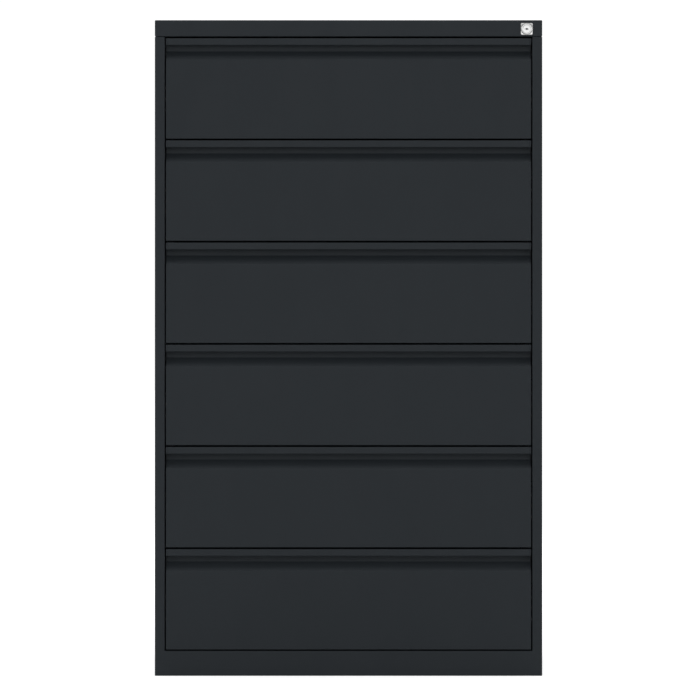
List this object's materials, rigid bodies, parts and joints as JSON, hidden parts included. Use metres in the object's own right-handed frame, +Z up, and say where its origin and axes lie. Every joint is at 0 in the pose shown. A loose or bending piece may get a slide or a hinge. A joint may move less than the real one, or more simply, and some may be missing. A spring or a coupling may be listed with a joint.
{
  "type": "filing cabinet",
  "caption": "Free-standing metal filing cabinet with full-width drawers on ball slides, finger-pull lips, and one lock in the top rail that locks them all.",
  "frame": {"origin": "on the floor, under the middle of the whole box, lock face included", "axes": "+Z up, front faces -Y, +X to the right as seen from the front"},
  "size_m": [0.8, 0.625, 1.354],
  "materials": {
    "casing_paint": "fine-textured satin anthracite powder coat",
    "front_paint": "fine-textured satin anthracite powder coat",
    "tray_paint": "satin anthracite powder coat",
    "galvanised": "galvanised sheet",
    "zinc_rail": "bright zinc plate, drawn lengthwise",
    "zinc_fitting": "zinc plate",
    "lock_nickel": "satin nickel plate",
    "nylon": "natural nylon",
    "buffer_rubber": "black rubber",
    "foot_black": "black glass-filled nylon pad on a zinc stem"
  },
  "bodies": {
    "cabinet": {"side_panel_left": "casing_paint", "side_panel_right": "casing_paint", "top_panel": "casing_paint", "back_panel": "casing_paint", "plinth_front": "casing_paint", "base_pan": "casing_paint", "base_channels": "galvanised", "slide_posts": "galvanised", "outer_rails": "zinc_rail", "rail_screws": "zinc_fitting", "rail_buffers": "buffer_rubber", "foot_nuts": "zinc_fitting", "lock_housing": "lock_nickel", "lock_nut": "zinc_fitting", "lock_bar_guides": "nylon"},
    "lock_barrel": {"lock_plug": "lock_nickel", "lock_cam": "zinc_fitting"},
    "lock_rod": {"lock_bar": "zinc_fitting", "lock_bar_head": "zinc_fitting", "lock_hooks": "zinc_fitting"},
    "foot_front_left": {"foot_front_left": "foot_black"},
    "foot_front_right": {"foot_front_right": "foot_black"},
    "foot_rear_left": {"foot_rear_left": "foot_black"},
    "foot_rear_right": {"foot_rear_right": "foot_black"},
    "drawer_1": {"drawer_1_front": "front_paint", "drawer_1_pull": "front_paint", "drawer_1_tray": "tray_paint", "drawer_1_dividers": "galvanised", "drawer_1_runners": "zinc_rail"},
    "slides_1": {"slide_1_middle": "zinc_rail"},
    "drawer_2": {"drawer_2_front": "front_paint", "drawer_2_pull": "front_paint", "drawer_2_tray": "tray_paint", "drawer_2_dividers": "galvanised", "drawer_2_runners": "zinc_rail"},
    "slides_2": {"slide_2_middle": "zinc_rail"},
    "drawer_3": {"drawer_3_front": "front_paint", "drawer_3_pull": "front_paint", "drawer_3_tray": "tray_paint", "drawer_3_dividers": "galvanised", "drawer_3_runners": "zinc_rail"},
    "slides_3": {"slide_3_middle": "zinc_rail"},
    "drawer_4": {"drawer_4_front": "front_paint", "drawer_4_pull": "front_paint", "drawer_4_tray": "tray_paint", "drawer_4_dividers": "galvanised", "drawer_4_runners": "zinc_rail"},
    "slides_4": {"slide_4_middle": "zinc_rail"},
    "drawer_5": {"drawer_5_front": "front_paint", "drawer_5_pull": "front_paint", "drawer_5_tray": "tray_paint", "drawer_5_dividers": "galvanised", "drawer_5_runners": "zinc_rail"},
    "slides_5": {"slide_5_middle": "zinc_rail"},
    "drawer_6": {"drawer_6_front": "front_paint", "drawer_6_pull": "front_paint", "drawer_6_tray": "tray_paint", "drawer_6_dividers": "galvanised", "drawer_6_runners": "zinc_rail"},
    "slides_6": {"slide_6_middle": "zinc_rail"}
  },
  "joints": [
    {"name": "drawer_1_slide", "type": "slide", "parent": "cabinet", "child": "drawer_1", "axis": [0, -1, 0], "range_m": [0, 0.56]},
    {"name": "slides_1_slide", "type": "slide", "parent": "cabinet", "child": "slides_1", "axis": [0, -1, 0], "range_m": [0, 0.28]},
    {"name": "drawer_2_slide", "type": "slide", "parent": "cabinet", "child": "drawer_2", "axis": [0, -1, 0], "range_m": [0, 0.56]},
    {"name": "slides_2_slide", "type": "slide", "parent": "cabinet", "child": "slides_2", "axis": [0, -1, 0], "range_m": [0, 0.28]},
    {"name": "drawer_3_slide", "type": "slide", "parent": "cabinet", "child": "drawer_3", "axis": [0, -1, 0], "range_m": [0, 0.56]},
    {"name": "slides_3_slide", "type": "slide", "parent": "cabinet", "child": "slides_3", "axis": [0, -1, 0], "range_m": [0, 0.28]},
    {"name": "drawer_4_slide", "type": "slide", "parent": "cabinet", "child": "drawer_4", "axis": [0, -1, 0], "range_m": [0, 0.56]},
    {"name": "slides_4_slide", "type": "slide", "parent": "cabinet", "child": "slides_4", "axis": [0, -1, 0], "range_m": [0, 0.28]},
    {"name": "drawer_5_slide", "type": "slide", "parent": "cabinet", "child": "drawer_5", "axis": [0, -1, 0], "range_m": [0, 0.56]},
    {"name": "slides_5_slide", "type": "slide", "parent": "cabinet", "child": "slides_5", "axis": [0, -1, 0], "range_m": [0, 0.28]},
    {"name": "drawer_6_slide", "type": "slide", "parent": "cabinet", "child": "drawer_6", "axis": [0, -1, 0], "range_m": [0, 0.56]},
    {"name": "slides_6_slide", "type": "slide", "parent": "cabinet", "child": "slides_6", "axis": [0, -1, 0], "range_m": [0, 0.28]},
    {"name": "lock_turn", "type": "hinge", "parent": "cabinet", "child": "lock_barrel", "pos_m": [0.368, -0.3095, 1.3355], "axis": [0, 1, 0], "range_deg": [0, 90]},
    {"name": "lock_bar_drop", "type": "slide", "parent": "cabinet", "child": "lock_rod", "axis": [0, 0, -1], "range_m": [0, 0.012]},
    {"name": "foot_front_left_height", "type": "slide", "parent": "cabinet", "child": "foot_front_left", "axis": [0, 0, -1], "range_m": [0, 0.02]},
    {"name": "foot_front_right_height", "type": "slide", "parent": "cabinet", "child": "foot_front_right", "axis": [0, 0, -1], "range_m": [0, 0.02]},
    {"name": "foot_rear_left_height", "type": "slide", "parent": "cabinet", "child": "foot_rear_left", "axis": [0, 0, -1], "range_m": [0, 0.02]},
    {"name": "foot_rear_right_height", "type": "slide", "parent": "cabinet", "child": "foot_rear_right", "axis": [0, 0, -1], "range_m": [0, 0.02]}
  ],
  "couplings": [
    {"joint": "slides_1_slide", "follows": "drawer_1_slide", "ratio": 0.5},
    {"joint": "slides_2_slide", "follows": "drawer_2_slide", "ratio": 0.5},
    {"joint": "slides_3_slide", "follows": "drawer_3_slide", "ratio": 0.5},
    {"joint": "slides_4_slide", "follows": "drawer_4_slide", "ratio": 0.5},
    {"joint": "slides_5_slide", "follows": "drawer_5_slide", "ratio": 0.5},
    {"joint": "slides_6_slide", "follows": "drawer_6_slide", "ratio": 0.5},
    {"joint": "lock_turn", "follows": "lock_bar_drop", "rad_per_m": 130.9}
  ]
}
